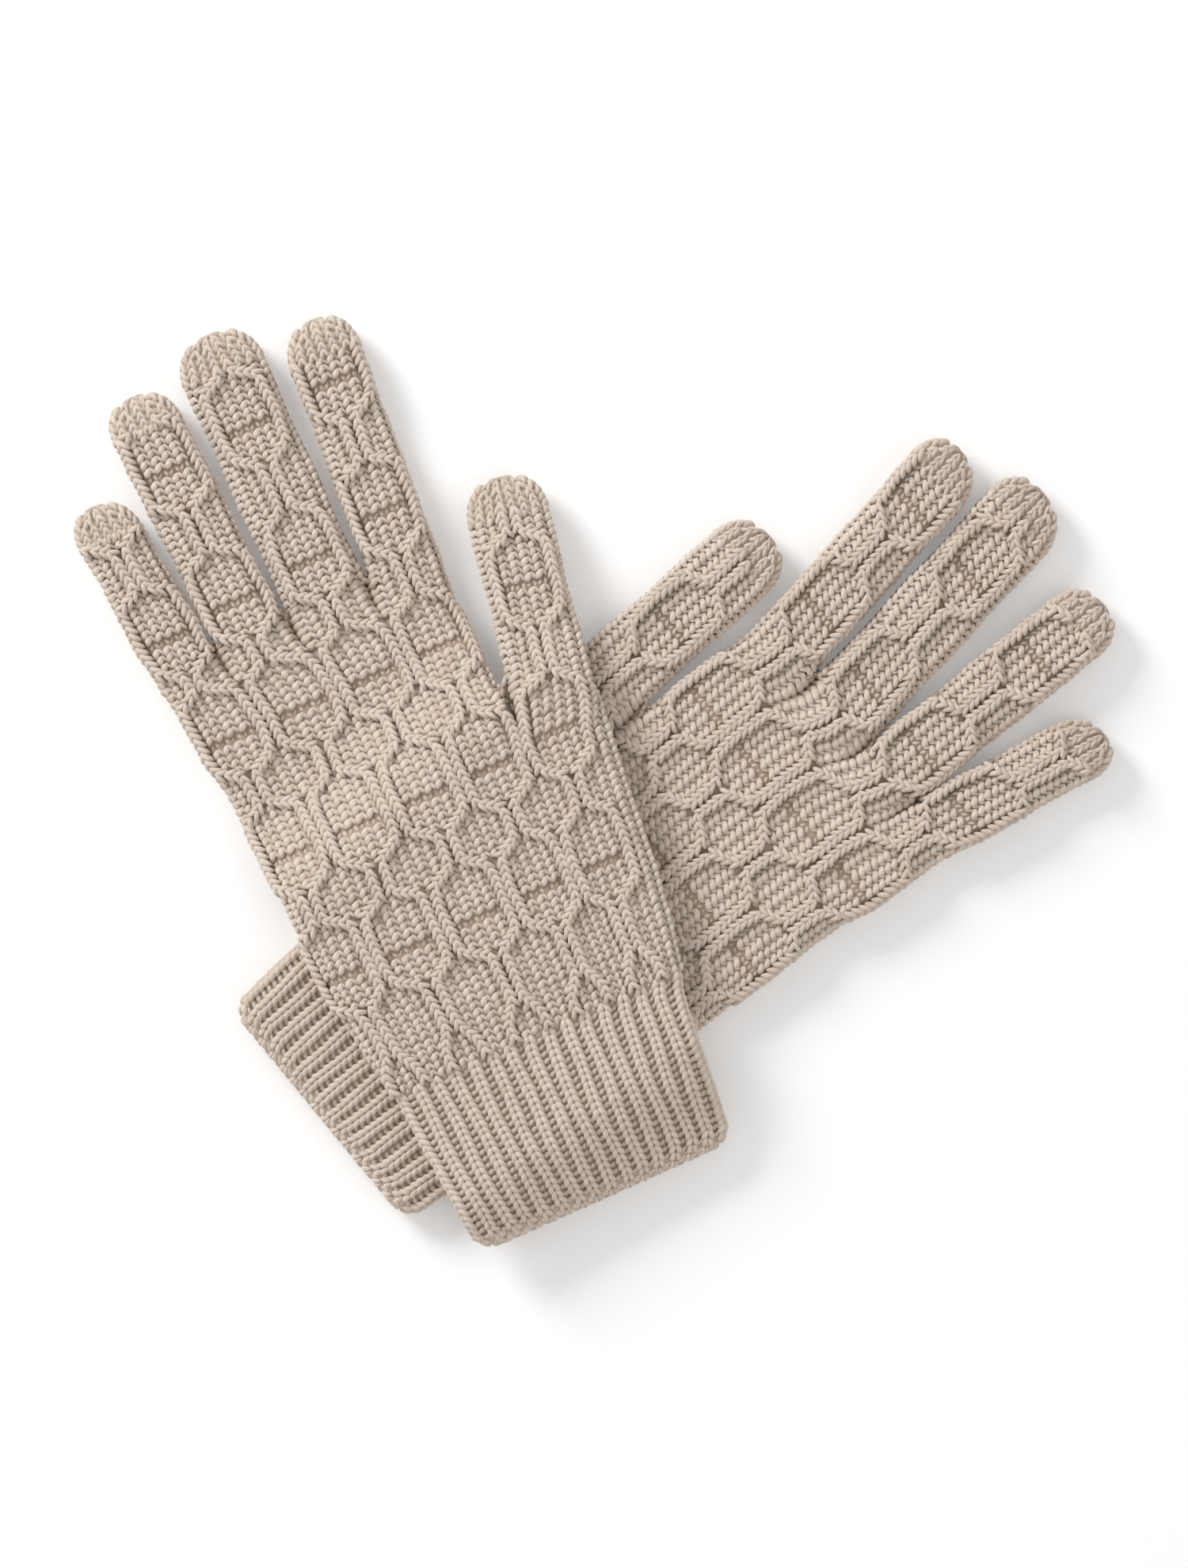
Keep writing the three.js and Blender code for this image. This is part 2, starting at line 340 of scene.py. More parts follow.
    def flat_point(self, strip: int, c: np.ndarray, v: np.ndarray) -> np.ndarray:
        """A point of a strip's ground, front layer, before the glove is laid down.

        Args:
            strip: The strip, 0 at the little finger to 4 at the thumb.
            c: Columns from the strip's middle.
            v: Millimetres along the surface from the hem.

        Returns:
            Points in the glove's frame, with Z from the glove's middle.
        """
        c, v = np.broadcast_arrays(np.asarray(c, float), np.asarray(v, float))
        return self.joined(self.unjoined(strip, c, v), strip, c, v)

    def joined(self, points: np.ndarray, strip: int, c: np.ndarray, v: np.ndarray) -> np.ndarray:
        """Draws the outer columns of neighbouring strips together below their web or fork.

        Args:
            points: The strip's ground before it is drawn to its neighbours.
            strip: The strip.
            c: Columns from the strip's middle.
            v: Millimetres along the surface from the hem.

        Returns:
            The moved points, with the fold below each web pressed in.
        """
        for side in (-1, 1):
            other = strip + side
            if not 0 <= other <= 4:
                continue
            split = FORK if 4 in (strip, other) else WEBS
            weight = np.clip((side * c - 1.2) / 1.8, 0.0, 1.0) ** 2
            weight = weight * (1.0 - smooth(split, split + 5.0, v))
            reach = split - 16.0
            weight = np.where(v < reach, 0.0, weight)
            edge = np.full_like(v, 3.0 * side)
            mine = self.unjoined(strip, edge, v)
            theirs = self.unjoined(other, -edge, v)
            points = points + (weight[..., None] * 0.5) * (theirs - mine)
            fold = CREASE * self.crease(side, split, c, v)[..., None]
            points = points - fold * np.array([0.0, 0.0, 1.0])
        return points

    def crease(self, side: int, split: float, c: np.ndarray, v: np.ndarray) -> np.ndarray:
        """Share of the fold that runs down from a web or the fork at one side of a strip.

        Args:
            side: 1 on the thumb side of the strip and -1 on the other.
            split: Height of the web or the fork.
            c: Columns from the strip's middle.
            v: Millimetres along the surface from the hem.

        Returns:
            From 0 away from the fold to 1 at its bottom.
        """
        near = np.clip((side * c - 1.9) / 1.3, 0.0, 1.0) ** 2
        return near * smooth(split - 11.0, split - 1.0, v) * (1.0 - smooth(split, split + 5.0, v))

    def folded(self, strip: int, c: np.ndarray, v: np.ndarray) -> np.ndarray:
        """Share of the folds at both sides of a strip, for its shade.

        Args:
            strip: The strip.
            c: Columns from the strip's middle.
            v: Millimetres along the surface from the hem.

        Returns:
            From 0 to 1.
        """
        total = np.zeros_like(c + v)
        for side in (-1, 1):
            if 0 <= strip + side <= 4:
                total = total + self.crease(side, FORK if 4 in (strip, strip + side) else WEBS, c, v)
        return np.clip(total, 0.0, 1.0)

    def unjoined(self, strip: int, c: np.ndarray, v: np.ndarray) -> np.ndarray:
        """A strip's ground without the pull of its neighbours.

        Args:
            strip: The strip.
            c: Columns from the strip's middle.
            v: Millimetres along the surface from the hem.

        Returns:
            Points in the glove's frame.
        """
        fork = smooth(FORK - 16.0, FORK - 1.0, v)[..., None]
        low = self.palm(strip, c, v, False)
        if strip == 4:
            return lerp(low, self.tube(FINGERS[4], c, v), fork)
        webs = smooth(WEBS - 14.0, WEBS, v)[..., None]
        hand = lerp(low, self.palm(strip, c, v, True), fork)
        return lerp(hand, self.tube(FINGERS[strip], c, v), webs)

    def cuff_point(self, u: np.ndarray, v: np.ndarray) -> np.ndarray:
        """A point of the cuff's front layer.

        Args:
            u: Share of the way across the layer, from the little side's edge to the thumb's.
            v: Millimetres from the hem up the outside, and below 0 round the hem and up the inside.

        Returns:
            Points in the glove's frame, with Z from the glove's middle.
        """
        u, v = np.broadcast_arrays(np.asarray(u, float), np.asarray(v, float))
        fold = 1.15  # half the fabric's thickness, on which the hem turns
        bend = np.clip(v / fold, -math.pi / 2, math.pi / 2)
        y = np.where(v > fold * math.pi / 2, v - fold * (math.pi / 2 - 1), fold - fold * np.cos(bend))
        y = np.where(v < -fold * math.pi / 2, -v - fold * (math.pi / 2 - 1), y)
        depth = fold - fold * np.sin(bend) + 0.25
        tall = THICKNESS / 2 - INSET + 0.2
        left = self.outline(self.left, y) + EDGE + 0.25
        right = self.outline(self.right, y) - EDGE - 0.25
        quarter = tall * math.pi / 2
        total = right - left - 2 * tall + 2 * quarter
        arc = u * total
        inner = tall - depth
        turn_l = np.clip((quarter - arc) / tall, 0.0, math.pi)
        turn_r = np.clip((arc - (total - quarter)) / tall, 0.0, math.pi)
        x = left + tall + arc - quarter
        z = inner + 0.0 * x
        x = np.where(turn_l > 0, left + tall - inner * np.sin(turn_l), x)
        z = np.where(turn_l > 0, inner * np.cos(turn_l), z)
        x = np.where(turn_r > 0, right - tall + inner * np.sin(turn_r), x)
        z = np.where(turn_r > 0, inner * np.cos(turn_r), z)
        return np.stack([x, y - self.size.hem * (1.0 - smooth(0.0, CUFF, y)), z], axis=-1)

    def lay(self, points: np.ndarray, face: Face, strip: int | None) -> np.ndarray:
        """Lays flat points on the surface or over the other glove.

        Args:
            points: Points in the glove's frame with Z from the glove's middle.
            face: The layer they belong to.
            strip: Their strip, or None on the cuff.

        Returns:
            Points in the shared frame, in mm.
        """
        s, y, z = points[..., 0], points[..., 1], points[..., 2] * face.value + THICKNESS / 2
        if self.size is TOP:
            lift = drape_lift(s, y)
            if strip == 4:
                turn = math.radians(self.size.lean[4])
                root = drape_lift(np.array(self.size.thumb_shift), np.array(THUMB_ROOT))
                along = (s - self.size.thumb_shift) * math.sin(turn) + (y - THUMB_ROOT) * math.cos(turn)
                tipped = root * (1.0 - np.clip(along, -20.0, 60.0) / FINGERS[4].length)
                lift = lerp(lift, tipped, smooth(-14.0, 0.0, along))
            elif strip is not None:
                lift = lift * (1.0 - smooth(KNUCKLES - 8.0, KNUCKLES + 4.0, y))
            z = z + lift
        matrix = np.array(glove_matrix(self.size))
        x = s * self.size.side
        return np.stack([
            matrix[0, 0] * x + matrix[0, 1] * y + matrix[0, 3],
            matrix[1, 0] * x + matrix[1, 1] * y + matrix[1, 3], z], axis=-1)

    def hand_point(self, strip: int, face: Face, c: np.ndarray, v: np.ndarray) -> np.ndarray:
        """A point of the knit's ground in the shared frame, in mm."""
        return self.lay(self.flat_point(strip, c, v), face, strip)

    def columns(self, strip: int, v: float) -> tuple[float, float]:
        """Columns of a strip's front layer at a height.

        Args:
            strip: The strip.
            v: Millimetres along the surface from the hem.

        Returns:
            Columns to the left of its middle, negative, and to the right.
        """
        fork, webs = v > FORK - 1.0, v > WEBS - 1.0
        if strip == 4:
            return (-4.0, 4.0) if fork else (-3.0, 5.0 if v < FORK - 5.0 else 4.0)
        if webs:
            half = FINGERS[strip].half_columns
            return -half, half
        left = -3.0 if strip > 0 else (-3.5 if v > 97.0 else -3.0)
        right = 3.5 if strip == 3 and fork else 3.0
        return left, right


class Template:
    """A small closed mesh that is repeated as a stitch, with its own yarn map."""

    def __init__(self, bm: bmesh.types.BMesh) -> None:
        """Keeps a bmesh as arrays.

        Args:
            bm: The stitch, with X across the wale, Y along it and Z out of the fabric, in mm.
        """
        bm.verts.index_update()
        layer = bm.loops.layers.uv.verify()
        self.points = np.array([v.co[:] for v in bm.verts])
        self.faces = [[loop.vert.index for loop in face.loops] for face in bm.faces]
        self.maps = [[loop[layer].uv[:] for loop in face.loops] for face in bm.faces]
        bm.free()

    def volume(self, points: np.ndarray) -> float:
        """Signed volume of one placed copy.

        Args:
            points: The copy's vertices.

        Returns:
            The volume, above 0 where the faces point outwards.
        """
        total = 0.0
        for face in self.faces:
            corners = points[face] - points[0]
            for k in range(1, len(face) - 1):
                total += float(np.dot(corners[0], np.cross(corners[k], corners[k + 1])))
        return total / 6.0


def yarn_tube(sides: int, rings: int, length: float) -> bmesh.types.BMesh:
    """A straight closed tube along Y, subdivided along its length.

    Args:
        sides: Sides of its section.
        rings: Cuts along its length.
        length: Its length in mm.

    Returns:
        The bmesh, not yet shaped.
    """
    bm = bmesh.new()
    bmesh.ops.create_cone(
        bm, cap_ends=True, cap_tris=False, segments=sides, radius1=1.0, radius2=1.0, depth=length,
        matrix=Matrix.Rotation(math.radians(-90), 4, "X"))
    long_edges = [e for e in bm.edges if abs(e.verts[0].co.y - e.verts[1].co.y) > length / 2]
    bmesh.ops.subdivide_edges(bm, edges=long_edges, cuts=rings)
    return bm


def ground_sheet(columns: int, rows: int) -> Template:
    """A thin closed sheet for the ground under the stitches.

    Args:
        columns: Faces across it.
        rows: Faces along it.

    Returns:
        The sheet, from -1 to 1 both ways and a unit thick.
    """
    bm = bmesh.new()
    bmesh.ops.create_grid(bm, x_segments=columns, y_segments=rows, size=1.0)
    made = bmesh.ops.extrude_face_region(bm, geom=bm.faces[:])
    moved = [item for item in made["geom"] if isinstance(item, bmesh.types.BMVert)]
    bmesh.ops.translate(bm, verts=moved, vec=(0.0, 0.0, 1.0))
    bmesh.ops.recalc_face_normals(bm, faces=bm.faces)
    layer = bm.loops.layers.uv.verify()
    for face in bm.faces:
        for loop in face.loops:
            loop[layer].uv = (loop.vert.co.x * 10.0, loop.vert.co.y * 40.0)
    return Template(bm)


def map_yarn(bm: bmesh.types.BMesh, radius: float) -> None:
    """Writes a yarn map: U round the section, V along it, both in mm.

    Args:
        bm: A straight tube along Y.
        radius: The yarn's radius, mm.
    """
    layer = bm.loops.layers.uv.verify()
    for face in bm.faces:
        middle = face.calc_center_median()
        about = math.atan2(middle.z, middle.x)
        for loop in face.loops:
            co = loop.vert.co
            angle = math.atan2(co.z, co.x)
            while angle - about > math.pi:
                angle -= 2 * math.pi
            while angle - about < -math.pi:
                angle += 2 * math.pi
            loop[layer].uv = (angle * radius, co.y)


@dataclass(frozen=True)
class YarnSize:
    """The yarn and how its stitches stand, in mm."""

    leg_length: float = 3.9
    leg_width: float = 0.69
    leg_height: float = 0.72
    leg_angle: float = 29.0
    leg_spread: float = 0.70
    leg_keel: float = 1.9
    wave_radius: float = 0.84
    wave_height: float = 0.66
    wave_rise: float = 0.64
    wave_depth: float = 0.38
    wave_crest: float = 0.14
    wave_change: float = 0.20

    def leg(self, side: int) -> Template:
        """One leg of a knit stitch: a plump strand, thick in its middle and tucked in at both ends.

        Args:
            side: 1 for the right leg and -1 for the left.

        Returns:
            The leg.
        """
        bm = yarn_tube(7, 4, self.leg_length)
        map_yarn(bm, 0.8)
        for vert in bm.verts:
            t = vert.co.y / (self.leg_length / 2)
            fat = math.sqrt(max(1.0 - (abs(t) * 0.95) ** 3.0, 0.02))
            vert.co.x *= self.leg_width * fat
            under = self.leg_keel if vert.co.z < 0.0 else 1.0
            vert.co.z = vert.co.z * self.leg_height * fat * under - 0.55 * t * t + 0.22 * t
            vert.co.x += 0.16 * side * (t * t - 0.4)
        turn = Matrix.Rotation(math.radians(self.leg_angle * side), 4, "Z")
        aside = Matrix.Translation((side * self.leg_spread, 0, 0))
        bmesh.ops.transform(bm, matrix=aside @ turn, verts=bm.verts)
        return Template(bm)

    def wave(self) -> Template:
        """One column of a purl row: the yarn climbs in front to a loop's head and falls behind it."""
        bm = yarn_tube(6, 5, 1.0)
        map_yarn(bm, 0.75)
        for vert in bm.verts:
            t = vert.co.y
            span = self.wave_crest + 0.5 if t < self.wave_crest else 0.5 - self.wave_crest
            phase = math.pi * (t - self.wave_crest) / span
            slope = math.sin(phase)
            run = Vector((STITCH, -self.wave_rise * slope * math.pi / span)).normalized()
            out = vert.co.x * self.wave_radius * (1.0 - self.wave_change * slope)
            up = vert.co.z * self.wave_height * (1.0 - self.wave_change * slope)
            vert.co.x = t - out * run.y / STITCH
            vert.co.y = self.wave_rise * math.cos(phase) + out * run.x
            vert.co.z = up - self.wave_depth * slope
        layer = bm.loops.layers.uv.verify()
        for face in bm.faces:
            for loop in face.loops:
                loop[layer].uv.y = loop[layer].uv.y * 4.6
        bmesh.ops.recalc_face_normals(bm, faces=bm.faces)
        return Template(bm)

    def dash(self) -> Template:
        """A short upright strand of a sunken knit row."""
        bm = yarn_tube(6, 2, 2.5)
        map_yarn(bm, 0.5)
        for vert in bm.verts:
            t = vert.co.y
            fat = math.sqrt(max(1.0 - (abs(t) * 0.74) ** 2.4, 0.03))
            vert.co.x *= 0.66 * fat
            vert.co.z = vert.co.z * 0.55 * fat - 0.2 * t * t
        return Template(bm)


class Stitches:
    """Collects repeated stitches and turns them into one mesh."""

    def __init__(self, seed: int) -> None:
        """Starts an empty collection with its own random order."""
        self.random = np.random.default_rng(seed)
        self.points: list[np.ndarray] = []
        self.tone_and_shade: list[np.ndarray] = []
        self.faces: list[np.ndarray] = []
        self.maps: list[np.ndarray] = []
        self.sizes: list[np.ndarray] = []
        self.count = 0

    def add(self, template: Template, placed: np.ndarray, painted_shade: np.ndarray) -> None:
        """Adds copies of a template.

        Args:
            template: The stitch.
            placed: Points of every copy, copies × vertices × 3, in mm.
            painted_shade: How much painted shade darkens each vertex, 0 to 1, copies × vertices; more where it lies
                low in the fabric or in a fold.
        """
        copies, count = placed.shape[:2]
        if copies == 0:
            return
        placed[..., 2] = np.maximum(placed[..., 2], 0.0)  # nothing goes below what the gloves lie on
        self.points.append(placed.reshape(-1, 3))
        # Each vertex keeps its stitch's random tone, the yarn's own colour, and a weight of painted shade.
        tone = self.random.normal(0.5, 0.11, copies)[:, None] * np.ones((1, count))
        self.tone_and_shade.append(np.stack([np.clip(tone, 0, 1), painted_shade], axis=-1).reshape(-1, 2))
        shift = self.random.uniform(0.0, 400.0, (copies, 2))
        turned = template.volume(placed[0]) < 0.0
        for face, mapped in zip(template.faces, template.maps):
            if turned:
                face, mapped = face[::-1], mapped[::-1]
            self.faces.append(
                np.array(face)[None, :] + (self.count + np.arange(copies) * count)[:, None])
            self.maps.append((np.array(mapped)[None, :, :] + shift[:, None, :]).reshape(-1, 2))
            self.sizes.append(np.full(copies, len(face)))
        self.count += copies * count

    def mesh(self, name: str) -> bpy.types.Object:
        """Makes the collected stitches one object.

        Args:
            name: The object's name.

        Returns:
            The object, with its place in its mesh.
        """
        points = np.concatenate(self.points) * MM
        loops, maps, sizes = [], [], np.concatenate(self.sizes)
        for face, mapped in zip(self.faces, self.maps):
            mapped = mapped.reshape(face.shape + (2,))
            loops.append(face.reshape(-1))
            maps.append(mapped.reshape(-1, 2))
        mesh = bpy.data.meshes.new(name)
        corners = np.concatenate(loops)
        mesh.vertices.add(len(points))
        mesh.vertices.foreach_set("co", points.astype(np.float32).ravel())
        mesh.loops.add(len(corners))
        mesh.loops.foreach_set("vertex_index", corners.astype(np.int32))
        mesh.polygons.add(len(sizes))
        starts = np.concatenate([[0], np.cumsum(sizes)[:-1]])
        mesh.polygons.foreach_set("loop_start", starts.astype(np.int32))
        mesh.update(calc_edges=True)
        mesh.validate()
        layer = mesh.uv_layers.new(name="yarn")
        layer.uv.foreach_set("vector", np.concatenate(maps).astype(np.float32).ravel())
        tone_and_shade = np.concatenate(self.tone_and_shade)
        # The second attribute is painted shade, darker where the yarn lies low or in a fold; the first is the
        # yarn's own tone.
        for column, label in enumerate(("tone", "painted_shade")):
            attribute = mesh.attributes.new(label, "FLOAT", "POINT")
            attribute.data.foreach_set("value", tone_and_shade[:, column].astype(np.float32))
        mesh.shade_smooth()
        made = bpy.data.objects.new(name, mesh)
        bpy.context.scene.collection.objects.link(made)
        return made


@dataclass(frozen=True)
class Wool:
    """Soft beige wool: fine fibres along the yarn, small random changes of tone, and painted shade, a darker colour
    where the yarn lies low in the fabric or in a fold.
    """

    name: str
    light: tuple[float, float, float] = (0.800, 0.680, 0.580)
    middle: tuple[float, float, float] = (0.660, 0.535, 0.440)
    # Painted shade: the darker brown that is mixed in where the yarn lies low or in a fold.
    painted_shade_colour: tuple[float, float, float] = (0.420, 0.315, 0.240)
    bump: float = 0.9

    def noise(self, made: bpy.types.Material, place: bpy.types.NodeSocket, scale: float, detail: float,
              roughness: float = 0.5) -> bpy.types.NodeSocket:
        """Adds a noise pattern.

        Args:
            made: The material.
            place: Where the pattern's coordinates come from.
            scale: Its scale.
            detail: Its detail.
            roughness: Its roughness.

        Returns:
            Its output.
        """
        node = made.node_tree.nodes.new("ShaderNodeTexNoise")
        node.inputs["Scale"].default_value = scale
        node.inputs["Detail"].default_value = detail
        node.inputs["Roughness"].default_value = roughness
        made.node_tree.links.new(place, node.inputs["Vector"])
        return node.outputs["Fac"]

    def weighted(self, made: bpy.types.Material, value: bpy.types.NodeSocket, weight: float,
                 base: bpy.types.NodeSocket) -> bpy.types.NodeSocket:
        """Adds a weighted pattern to another.

        Args:
            made: The material.
            value: The pattern that is added.
            weight: How much of it.
            base: What it is added to.

        Returns:
            The sum.
        """
        node = made.node_tree.nodes.new("ShaderNodeMath")
        node.operation = "MULTIPLY_ADD"
        made.node_tree.links.new(value, node.inputs[0])
        node.inputs[1].default_value = weight
        made.node_tree.links.new(base, node.inputs[2])
        return node.outputs[0]

    def material(self) -> bpy.types.Material:
        """Builds the node material."""
        made = bpy.data.materials.new(self.name)
        made.use_nodes = True
        nodes, links = made.node_tree.nodes, made.node_tree.links
        shader = nodes["Principled BSDF"]
        shader.inputs["Roughness"].default_value = 0.92
        shader.inputs["Sheen Weight"].default_value = 0.35
        shader.inputs["Sheen Roughness"].default_value = 0.45
        shader.inputs["Sheen Tint"].default_value = (0.95, 0.88, 0.80, 1.0)
        shader.inputs["Specular IOR Level"].default_value = 0.15
        uv = nodes.new("ShaderNodeUVMap")
        uv.uv_map = "yarn"
        stretch = nodes.new("ShaderNodeMapping")
        stretch.inputs["Scale"].default_value = (2.6, 0.5, 1.0)
        stretch.inputs["Rotation"].default_value = (0.0, 0.0, math.radians(24))
        links.new(uv.outputs["UV"], stretch.inputs["Vector"])
        place = nodes.new("ShaderNodeTexCoord")
        fibres = self.noise(made, stretch.outputs["Vector"], 1.0, 4.0, 0.65)
        patches = self.noise(made, place.outputs["Object"], 46.0, 3.0)
        tone = nodes.new("ShaderNodeAttribute")
        tone.attribute_name = "tone"
        painted_shade = nodes.new("ShaderNodeAttribute")
        painted_shade.attribute_name = "painted_shade"
        shade = self.weighted(made, fibres, 0.62, tone.outputs["Fac"])
        level = self.weighted(made, patches, 0.30, shade)
        colour = nodes.new("ShaderNodeValToRGB")
        colour.color_ramp.elements[0].position = 0.52
        colour.color_ramp.elements[0].color = (*self.middle, 1.0)
        colour.color_ramp.elements[1].position = 1.0
        colour.color_ramp.elements[1].color = (*self.light, 1.0)
        links.new(level, colour.inputs["Fac"])
        # Painted shade: the colour is mixed towards the darker brown by the per-vertex shade weight.
        darken = nodes.new("ShaderNodeMix")
        darken.data_type = "RGBA"
        links.new(painted_shade.outputs["Fac"], darken.inputs["Factor"])
        links.new(colour.outputs["Color"], darken.inputs["A"])
        darken.inputs["B"].default_value = (*self.painted_shade_colour, 1.0)
        links.new(darken.outputs["Result"], shader.inputs["Base Color"])
        fuzz = self.noise(made, place.outputs["Object"], 2600.0, 2.0)
        height = self.weighted(made, fuzz, 0.35, fibres)
        bump = nodes.new("ShaderNodeBump")
        bump.inputs["Strength"].default_value = self.bump
        bump.inputs["Distance"].default_value = 0.55 * MM
        links.new(height, bump.inputs["Height"])
        links.new(bump.outputs["Normal"], shader.inputs["Normal"])
        return made


@dataclass(frozen=True)
class CellSize:
    """The six-sided cells between a strip's two wales, in rows and columns from a dash row."""

    opens: tuple[float, float] = (-5.6, -3.3)
    closes: tuple[float, float] = (5.6, 7.6)
    neck: float = 0.58
    spread: float = 1.72
    bow: float = 0.24
    bow_middle: float = 1.0
    bow_half: float = 5.5
    at_cuff: float = 0.62  # share of the spread above the cuff
    cuff_end: tuple[float, float] = (50.0, 57.5)  # mm from the hem


@dataclass
class Glove:
    """One glove: ribbed cuff, hand and five fingers."""

    size: GloveSize
    yarn: YarnSize
    rib_yarn: YarnSize
    knit: Wool
    rib: Wool
    ribs: int = 16
    rib_row: float = 1.9
    rib_inside: float = 7.0
    rib_pitch: float = 5.25
    cell: CellSize = CellSize()
    wale_proud: float = 1.62
    tip_proud: float = 0.42
    wale_clear: float = 0.36

    def __post_init__(self) -> None:
        """Makes the shape and the stitch templates."""
        self.shape = GloveShape(self.size)
        self.legs = {side: self.yarn.leg(side) for side in (-1, 1)}
        self.rib_legs = {side: self.rib_yarn.leg(side) for side in (-1, 1)}
        self.wave = self.yarn.wave()
        self.dash = self.yarn.dash()
        self.random = np.random.default_rng(self.size.seed)
        self.parts: dict[str, Stitches] = {}
        self.triangles = 0

    def part(self, name: str) -> Stitches:
        """The collection of one piece's stitches.

        Args:
            name: The piece's name.

        Returns:
            The collection, made on its first use.
        """
        if name not in self.parts:
            self.parts[name] = Stitches(self.size.seed * 1000 + len(self.parts))
        return self.parts[name]

    def ground(self, strip: int | None, face: Face) -> Surface:
        """The ground surface of a strip's layer, or of the cuff's for no strip."""
        if strip is None:
            return lambda a, b: self.shape.lay(self.shape.cuff_point(a, b), face, None)
        return lambda a, b: self.shape.hand_point(strip, face, a, b)

    def frame_at(self, point: Surface, a: np.ndarray, b: np.ndarray, step_a: float,
                 step_b: float) -> tuple[np.ndarray, np.ndarray, np.ndarray, np.ndarray]:
        """Point, tangents and outward normal of a surface.

        Args:
            point: Function of (a, b) that gives points.
            a: First coordinate.
            b: Second coordinate.
            step_a: Step for the first tangent.
            step_b: Step for the second tangent.

        Returns:
            Point, first tangent and second tangent for a unit of each coordinate, and normal.
        """
        here = point(a, b)
        along_a = (point(a + step_a, b) - point(a - step_a, b)) / (2 * step_a)
        along_b = (point(a, b + step_b) - point(a, b - step_b)) / (2 * step_b)
        normal = np.cross(along_a, along_b)
        normal /= np.maximum(np.linalg.norm(normal, axis=-1, keepdims=True), 1e-9)
        return here, along_a, along_b, normal

    def pressed(self, height: np.ndarray, face: Face) -> np.ndarray:
        """Flattens the yarn of the underside against what it lies on.

        Args:
            height: Height over the ground, mm.
            face: The layer.

        Returns:
            The height that is left.
        """
        if face is Face.FRONT:
            return height
        return np.where(height > PRESS_FROM, PRESS_FROM + (height - PRESS_FROM) * PRESS, height)

    def outward(self, normal: np.ndarray, face: Face) -> np.ndarray:
        """Turns normals out of the fabric on either layer and either glove."""
        return normal * (face.value * self.size.side)

    def offsets(self, dashes: tuple[float, ...], v: np.ndarray) -> np.ndarray:
        """Columns between a strip's middle and each of its two wales.

        Args:
            dashes: Heights of the strip's dash rows.
            v: Millimetres along the surface.

        Returns:
            The offset in columns.
        """
        cell = self.cell
        wide = np.zeros_like(v)
        bow = np.zeros_like(v)
        for dash in dashes:
            t = (v - dash) / ROW
            here = smooth(*cell.opens, t) * (1.0 - smooth(*cell.closes, t))
            wide = np.maximum(wide, here)
            bow = np.maximum(bow, here * (1.0 - ((t - cell.bow_middle) / cell.bow_half) ** 2))
        wide = np.maximum(wide, cell.at_cuff * (1.0 - smooth(*cell.cuff_end, v)))
        return cell.neck + cell.spread * wide + cell.bow * np.clip(bow, 0, 1)

    def dashes_of(self, strip: int) -> tuple[float, ...]:
        """Heights of every dash row of a strip.

        Args:
            strip: The strip.

        Returns:
            Millimetres from the hem.
        """
        name = FINGERS[strip].name
        if name == "thumb":
            return self.size.dashes["thumb"]
        return self.size.dashes["palm"] + self.size.dashes[name]

    def limits(self, strip: int) -> tuple[float, float, float]:
        """Heights at which a strip goes from piece to piece.

        Args:
            strip: The strip.

        Returns:
            Where its hand piece, its base piece and its surface end.
        """
        finger = FINGERS[strip]
        root = THUMB_ROOT if strip == 4 else KNUCKLES
        hand_end = root - 9.0
        tip_start = root + (10.0 if finger.name in ("little", "thumb") else 14.0)
        return hand_end, tip_start, self.shape.surface_end(finger)

    def zone_name(self, strip: int, face: Face, v: float) -> str:
        """Name of the piece that a row belongs to.

        Args:
            strip: The strip.
            face: The layer.
            v: Height of the row.

        Returns:
            The name.
        """
        hand_end, tip_start, _ = self.limits(strip)
        finger = FINGERS[strip].name
        if v < hand_end:
            return f"{self.size.name}_hand_{face.name.lower()}"
        return f"{self.size.name}_{finger}_{'base' if v < tip_start else 'tip'}"

    def purl_rows(self, strip: int, face: Face) -> None:
        """Lays the purl ground of a strip, row by row, and the sunken dash rows.

        Args:
            strip: The strip.
            face: The layer.
        """
        end = self.limits(strip)[2]
        dashes = self.dashes_of(strip)
        tip_knit = end - 10.5
        rows: dict[str, list] = {}
        sunk_rows: dict[str, list] = {}
        v = FIRST_ROW + ROW * 0.1
        while v < end - 0.9:
            left, right = self.shape.columns(strip, v)
            first = math.ceil(left - 0.5) + 0.5 if left != -3.5 else -3.5
            centres = np.arange(first, right + 0.01, 1.0)
            if left == -3.5 and face is Face.BACK:
                centres = centres[centres > -3.4]
            if right == 3.5 and face is Face.BACK:
                centres = centres[centres < 3.4]
            near = min(abs(v - d) for d in dashes)
            offset = float(self.offsets(dashes, np.array([v]))[0])
            name = self.zone_name(strip, face, v)
            if v > tip_knit:
                v += ROW
                continue
            inside_cell = near < ROW * 0.5
            for c in centres:
                if min(abs(c - offset), abs(c + offset)) < self.wale_clear:
                    continue
                if inside_cell and abs(c) < 2.2:
                    sunk_rows.setdefault(name, []).append((c, v))
                else:
                    rows.setdefault(name, []).append((c, v))
            v += ROW
        for name, places in rows.items():
            self.lay_waves(name, strip, face, np.array(places))
        for name, places in sunk_rows.items():
            self.lay_dashes(name, strip, face, np.array(places))

